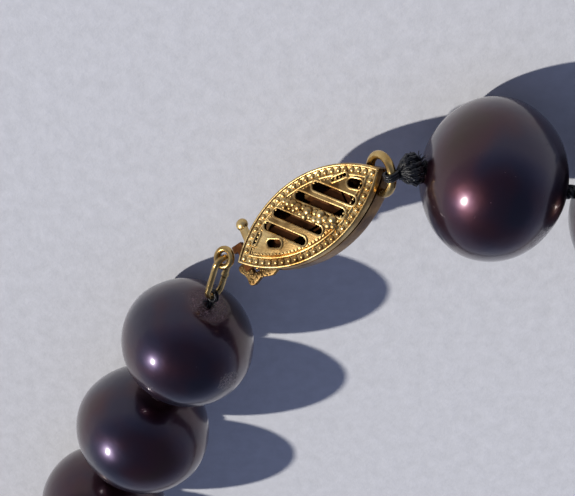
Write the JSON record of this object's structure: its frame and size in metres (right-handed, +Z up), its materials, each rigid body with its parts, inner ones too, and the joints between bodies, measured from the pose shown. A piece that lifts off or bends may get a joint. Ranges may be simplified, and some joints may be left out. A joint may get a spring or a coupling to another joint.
{
  "type": "pearl necklace",
  "caption": "Knotted strand of black baroque-round pearls closed by a gold-tone pierced fish-hook clasp, laid as a loop.",
  "frame": {"origin": "centre of the bounding box's base, on the table that the strand lies on", "axes": "+Z up from the table, +Y from the clasp towards the far end of the loop, +X to the hook side of the clasp"},
  "size_m": [0.1266, 0.1628, 0.0112],
  "materials": {
    "black_nacre": "high-lustre dyed nacre, aubergine to peacock overtone",
    "gold_plate": "polished gold plating on stamped brass",
    "black_silk": "twisted beading silk"
  },
  "bodies": {
    "clasp_box": {"clasp_upper_shell": "gold_plate", "clasp_lower_shell": "gold_plate", "clasp_catch_bar": "gold_plate"},
    "box_ring": {"box_ring": "gold_plate"},
    "hook": {"hook_tongue": "gold_plate", "hook_eyelet": "gold_plate"},
    "press_leaf": {"hook_spring_leaf": "gold_plate", "press_bar": "gold_plate", "press_tab_leaf": "gold_plate"},
    "link": {"strand_link": "gold_plate"},
    "pearl_01": {"pearl_01": "black_nacre", "link_thread_loop": "black_silk"},
    "pearl_40": {"pearl_40": "black_nacre", "ring_thread_loop": "black_silk", "silk_end_knot": "black_silk"},
    "pearl_02": {"pearl_02": "black_nacre"},
    "pearl_03": {"pearl_03": "black_nacre"},
    "pearl_04": {"pearl_04": "black_nacre"},
    "pearl_05": {"pearl_05": "black_nacre"},
    "pearl_06": {"pearl_06": "black_nacre"},
    "pearl_07": {"pearl_07": "black_nacre"},
    "pearl_08": {"pearl_08": "black_nacre"},
    "pearl_09": {"pearl_09": "black_nacre"},
    "pearl_10": {"pearl_10": "black_nacre"},
    "pearl_11": {"pearl_11": "black_nacre"},
    "pearl_12": {"pearl_12": "black_nacre"},
    "pearl_13": {"pearl_13": "black_nacre"},
    "pearl_14": {"pearl_14": "black_nacre"},
    "pearl_15": {"pearl_15": "black_nacre"},
    "pearl_16": {"pearl_16": "black_nacre"},
    "pearl_17": {"pearl_17": "black_nacre"},
    "pearl_18": {"pearl_18": "black_nacre"},
    "pearl_19": {"pearl_19": "black_nacre"},
    "pearl_20": {"pearl_20": "black_nacre"},
    "pearl_21": {"pearl_21": "black_nacre"},
    "pearl_22": {"pearl_22": "black_nacre"},
    "pearl_23": {"pearl_23": "black_nacre"},
    "pearl_24": {"pearl_24": "black_nacre"},
    "pearl_25": {"pearl_25": "black_nacre"},
    "pearl_26": {"pearl_26": "black_nacre"},
    "pearl_27": {"pearl_27": "black_nacre"},
    "pearl_28": {"pearl_28": "black_nacre"},
    "pearl_29": {"pearl_29": "black_nacre"},
    "pearl_30": {"pearl_30": "black_nacre"},
    "pearl_31": {"pearl_31": "black_nacre"},
    "pearl_32": {"pearl_32": "black_nacre"},
    "pearl_33": {"pearl_33": "black_nacre"},
    "pearl_34": {"pearl_34": "black_nacre"},
    "pearl_35": {"pearl_35": "black_nacre"},
    "pearl_36": {"pearl_36": "black_nacre"},
    "pearl_37": {"pearl_37": "black_nacre"},
    "pearl_38": {"pearl_38": "black_nacre"},
    "pearl_39": {"pearl_39": "black_nacre"}
  },
  "joints": [
    {"name": "clasp_release", "type": "slide", "parent": "clasp_box", "child": "hook", "axis": [0.7314, 0.682, 0], "range_m": [0, 0.006]},
    {"name": "press_leaf_flex", "type": "hinge", "parent": "hook", "child": "press_leaf", "pos_m": [0.02792, -0.07458, 0.00547], "axis": [0.3764, -0.4037, -0.8339], "range_deg": [0, 2.8], "stiffness_Nm_per_rad": 0.1},
    {"name": "link_swing", "type": "hinge", "parent": "hook", "child": "link", "pos_m": [0.03624, -0.06752, 0.0046], "axis": [0, 0, 1], "range_deg": [-1.04, 1.04]},
    {"name": "hook_knot", "type": "hinge", "parent": "hook", "child": "pearl_01", "pos_m": [0.03712, -0.06401, 0.00485], "axis": [0, 0, 1], "range_deg": [-4.1, 4.1]},
    {"name": "knot_01", "type": "hinge", "parent": "pearl_01", "child": "pearl_02", "pos_m": [0.04099, -0.05464, 0.00501], "axis": [0, 0, 1], "range_deg": [-4.72, 4.72]},
    {"name": "knot_02", "type": "hinge", "parent": "pearl_02", "child": "pearl_03", "pos_m": [0.0443, -0.04511, 0.00503], "axis": [0, 0, 1], "range_deg": [-3.92, 3.92]},
    {"name": "knot_03", "type": "hinge", "parent": "pearl_03", "child": "pearl_04", "pos_m": [0.04788, -0.03618, 0.00504], "axis": [0, 0, 1], "range_deg": [-2.64, 2.64]},
    {"name": "knot_04", "type": "hinge", "parent": "pearl_04", "child": "pearl_05", "pos_m": [0.05202, -0.02685, 0.00508], "axis": [0, 0, 1], "range_deg": [-0.02, 1.06]},
    {"name": "knot_05", "type": "hinge", "parent": "pearl_05", "child": "pearl_06", "pos_m": [0.0552, -0.01723, 0.00501], "axis": [0, 0, 1], "range_deg": [-1.33, 1.33]},
    {"name": "knot_06", "type": "hinge", "parent": "pearl_06", "child": "pearl_07", "pos_m": [0.05729, -0.00768, 0.00507], "axis": [0, 0, 1], "range_deg": [-3.28, 3.28]},
    {"name": "knot_07", "type": "hinge", "parent": "pearl_07", "child": "pearl_08", "pos_m": [0.05835, 0.00228, 0.00505], "axis": [0, 0, 1], "range_deg": [-4.93, 4.93]},
    {"name": "knot_08", "type": "hinge", "parent": "pearl_08", "child": "pearl_09", "pos_m": [0.05829, 0.01226, 0.00502], "axis": [0, 0, 1], "range_deg": [-0.02, 0.99]},
    {"name": "knot_09", "type": "hinge", "parent": "pearl_09", "child": "pearl_10", "pos_m": [0.05704, 0.02234, 0.00509], "axis": [0, 0, 1], "range_deg": [-6.32, 6.32]},
    {"name": "knot_10", "type": "hinge", "parent": "pearl_10", "child": "pearl_11", "pos_m": [0.0546, 0.03191, 0.00502], "axis": [0, 0, 1], "range_deg": [-5.99, 5.99]},
    {"name": "knot_11", "type": "hinge", "parent": "pearl_11", "child": "pearl_12", "pos_m": [0.05096, 0.04097, 0.00505], "axis": [0, 0, 1], "range_deg": [-5.09, 5.09]},
    {"name": "knot_12", "type": "hinge", "parent": "pearl_12", "child": "pearl_13", "pos_m": [0.04579, 0.04995, 0.00507], "axis": [0, 0, 1], "range_deg": [-0.02, 0.749]},
    {"name": "knot_13", "type": "hinge", "parent": "pearl_13", "child": "pearl_14", "pos_m": [0.03963, 0.0577, 0.00501], "axis": [0, 0, 1], "range_deg": [-2.11, 2.11]},
    {"name": "knot_14", "type": "hinge", "parent": "pearl_14", "child": "pearl_15", "pos_m": [0.03245, 0.0643, 0.00508], "axis": [0, 0, 1], "range_deg": [-0.435, 0.435]},
    {"name": "knot_15", "type": "hinge", "parent": "pearl_15", "child": "pearl_16", "pos_m": [0.02392, 0.06986, 0.00504], "axis": [0, 0, 1], "range_deg": [-1.33, 1.33]},
    {"name": "knot_16", "type": "hinge", "parent": "pearl_16", "child": "pearl_17", "pos_m": [0.01476, 0.07382, 0.00503], "axis": [0, 0, 1], "range_deg": [-0.02, 0.38]},
    {"name": "knot_17", "type": "hinge", "parent": "pearl_17", "child": "pearl_18", "pos_m": [0.00501, 0.07611, 0.00508], "axis": [0, 0, 1], "range_deg": [-4.2, 4.2]},
    {"name": "knot_18", "type": "hinge", "parent": "pearl_18", "child": "pearl_19", "pos_m": [-0.0048, 0.0766, 0.00502], "axis": [0, 0, 1], "range_deg": [-5.18, 5.18]},
    {"name": "knot_19", "type": "hinge", "parent": "pearl_19", "child": "pearl_20", "pos_m": [-0.0147, 0.07527, 0.00507], "axis": [0, 0, 1], "range_deg": [-5.81, 5.81]},
    {"name": "ring_swing", "type": "hinge", "parent": "clasp_box", "child": "box_ring", "pos_m": [0.02565, -0.07625, 0.00543], "axis": [0, 0, 1], "range_deg": [-0.83, 0.83]},
    {"name": "ring_knot", "type": "hinge", "parent": "clasp_box", "child": "pearl_40", "pos_m": [0.02496, -0.07689, 0.00632], "axis": [0, 0, 1], "range_deg": [-4.09, 4.09]},
    {"name": "knot_39", "type": "hinge", "parent": "pearl_40", "child": "pearl_39", "pos_m": [0.01294, -0.07468, 0.00558], "axis": [0, 0, 1], "range_deg": [-4.57, 4.57]},
    {"name": "knot_38", "type": "hinge", "parent": "pearl_39", "child": "pearl_38", "pos_m": [0.00281, -0.07075, 0.00552], "axis": [0, 0, 1], "range_deg": [-3.7, 3.7]},
    {"name": "knot_37", "type": "hinge", "parent": "pearl_38", "child": "pearl_37", "pos_m": [-0.00697, -0.06574, 0.00538], "axis": [0, 0, 1], "range_deg": [-2.41, 2.41]},
    {"name": "knot_36", "type": "hinge", "parent": "pearl_37", "child": "pearl_36", "pos_m": [-0.01592, -0.06049, 0.00526], "axis": [0, 0, 1], "range_deg": [-0.538, 0.02]},
    {"name": "knot_35", "type": "hinge", "parent": "pearl_36", "child": "pearl_35", "pos_m": [-0.02365, -0.05391, 0.00517], "axis": [0, 0, 1], "range_deg": [-0.99, 0.99]},
    {"name": "knot_34", "type": "hinge", "parent": "pearl_35", "child": "pearl_34", "pos_m": [-0.03083, -0.0468, 0.00504], "axis": [0, 0, 1], "range_deg": [-2.84, 2.84]},
    {"name": "knot_33", "type": "hinge", "parent": "pearl_34", "child": "pearl_33", "pos_m": [-0.0374, -0.03918, 0.00507], "axis": [0, 0, 1], "range_deg": [-4.54, 4.54]},
    {"name": "knot_32", "type": "hinge", "parent": "pearl_33", "child": "pearl_32", "pos_m": [-0.04329, -0.03103, 0.00506], "axis": [0, 0, 1], "range_deg": [-0.185, 0.02]},
    {"name": "knot_31", "type": "hinge", "parent": "pearl_32", "child": "pearl_31", "pos_m": [-0.04822, -0.02269, 0.00502], "axis": [0, 0, 1], "range_deg": [-6.41, 6.41]},
    {"name": "knot_30", "type": "hinge", "parent": "pearl_31", "child": "pearl_30", "pos_m": [-0.05252, -0.01346, 0.00509], "axis": [0, 0, 1], "range_deg": [-6.34, 6.34]},
    {"name": "knot_29", "type": "hinge", "parent": "pearl_30", "child": "pearl_29", "pos_m": [-0.05578, -0.0038, 0.00503], "axis": [0, 0, 1], "range_deg": [-5.53, 5.53]},
    {"name": "knot_28", "type": "hinge", "parent": "pearl_29", "child": "pearl_28", "pos_m": [-0.05776, 0.00563, 0.00505], "axis": [0, 0, 1], "range_deg": [-0.02, 0.111]},
    {"name": "knot_27", "type": "hinge", "parent": "pearl_28", "child": "pearl_27", "pos_m": [-0.05855, 0.01568, 0.00507], "axis": [0, 0, 1], "range_deg": [-2.56, 2.56]},
    {"name": "knot_26", "type": "hinge", "parent": "pearl_27", "child": "pearl_26", "pos_m": [-0.05794, 0.02577, 0.00501], "axis": [0, 0, 1], "range_deg": [-0.73, 0.73]},
    {"name": "knot_25", "type": "hinge", "parent": "pearl_26", "child": "pearl_25", "pos_m": [-0.05588, 0.0355, 0.00508], "axis": [0, 0, 1], "range_deg": [-1.1, 1.1]},
    {"name": "knot_24", "type": "hinge", "parent": "pearl_25", "child": "pearl_24", "pos_m": [-0.05231, 0.04478, 0.00505], "axis": [0, 0, 1], "range_deg": [-0.02, 0.19]},
    {"name": "knot_23", "type": "hinge", "parent": "pearl_24", "child": "pearl_23", "pos_m": [-0.0473, 0.05325, 0.00503], "axis": [0, 0, 1], "range_deg": [-4.1, 4.1]},
    {"name": "knot_22", "type": "hinge", "parent": "pearl_23", "child": "pearl_22", "pos_m": [-0.04063, 0.06108, 0.00509], "axis": [0, 0, 1], "range_deg": [-5.17, 5.17]},
    {"name": "knot_21", "type": "hinge", "parent": "pearl_22", "child": "pearl_21", "pos_m": [-0.03295, 0.06737, 0.00502], "axis": [0, 0, 1], "range_deg": [-5.8, 5.8]}
  ],
  "couplings": [
    {"joint": "link_swing", "follows": "knot_31", "ratio": 0.15931},
    {"joint": "hook_knot", "follows": "knot_31", "ratio": 0.63722},
    {"joint": "knot_01", "follows": "knot_31", "ratio": 0.73318},
    {"joint": "knot_02", "follows": "knot_31", "ratio": 0.60811},
    {"joint": "knot_03", "follows": "knot_31", "ratio": 0.40901},
    {"joint": "knot_04", "follows": "clasp_release", "rad_per_m": 3.0289},
    {"joint": "knot_05", "follows": "knot_31", "ratio": -0.20527},
    {"joint": "knot_06", "follows": "knot_31", "ratio": -0.50928},
    {"joint": "knot_07", "follows": "knot_31", "ratio": -0.76559},
    {"joint": "knot_08", "follows": "clasp_release", "rad_per_m": 2.8232},
    {"joint": "knot_09", "follows": "knot_31", "ratio": -0.98356},
    {"joint": "knot_10", "follows": "knot_31", "ratio": -0.93083},
    {"joint": "knot_11", "follows": "knot_31", "ratio": -0.7919},
    {"joint": "knot_12", "follows": "clasp_release", "rad_per_m": 2.121},
    {"joint": "knot_13", "follows": "knot_31", "ratio": -0.3263},
    {"joint": "knot_14", "follows": "knot_31", "ratio": -0.06477},
    {"joint": "knot_15", "follows": "knot_31", "ratio": 0.20479},
    {"joint": "knot_16", "follows": "clasp_release", "rad_per_m": 1.0485},
    {"joint": "knot_17", "follows": "knot_31", "ratio": 0.65237},
    {"joint": "knot_18", "follows": "knot_31", "ratio": 0.8057},
    {"joint": "knot_19", "follows": "knot_31", "ratio": 0.90335},
    {"joint": "ring_swing", "follows": "knot_31", "ratio": -0.12702},
    {"joint": "ring_knot", "follows": "knot_31", "ratio": -0.63509},
    {"joint": "knot_39", "follows": "knot_31", "ratio": -0.71034},
    {"joint": "knot_38", "follows": "knot_31", "ratio": -0.57477},
    {"joint": "knot_37", "follows": "knot_31", "ratio": -0.37318},
    {"joint": "knot_36", "follows": "clasp_release", "rad_per_m": -1.507},
    {"joint": "knot_35", "follows": "knot_31", "ratio": 0.151},
    {"joint": "knot_34", "follows": "knot_31", "ratio": 0.44003},
    {"joint": "knot_33", "follows": "knot_31", "ratio": 0.70465},
    {"joint": "knot_32", "follows": "clasp_release", "rad_per_m": -0.48028},
    {"joint": "knot_30", "follows": "knot_31", "ratio": 0.98558},
    {"joint": "knot_29", "follows": "knot_31", "ratio": 0.85948},
    {"joint": "knot_28", "follows": "clasp_release", "rad_per_m": 0.26532},
    {"joint": "knot_27", "follows": "knot_31", "ratio": 0.3971},
    {"joint": "knot_26", "follows": "knot_31", "ratio": 0.11021},
    {"joint": "knot_25", "follows": "knot_31", "ratio": -0.16892},
    {"joint": "knot_24", "follows": "clasp_release", "rad_per_m": 0.49369},
    {"joint": "knot_23", "follows": "knot_31", "ratio": -0.63599},
    {"joint": "knot_22", "follows": "knot_31", "ratio": -0.8029},
    {"joint": "knot_21", "follows": "knot_31", "ratio": -0.90224}
  ]
}
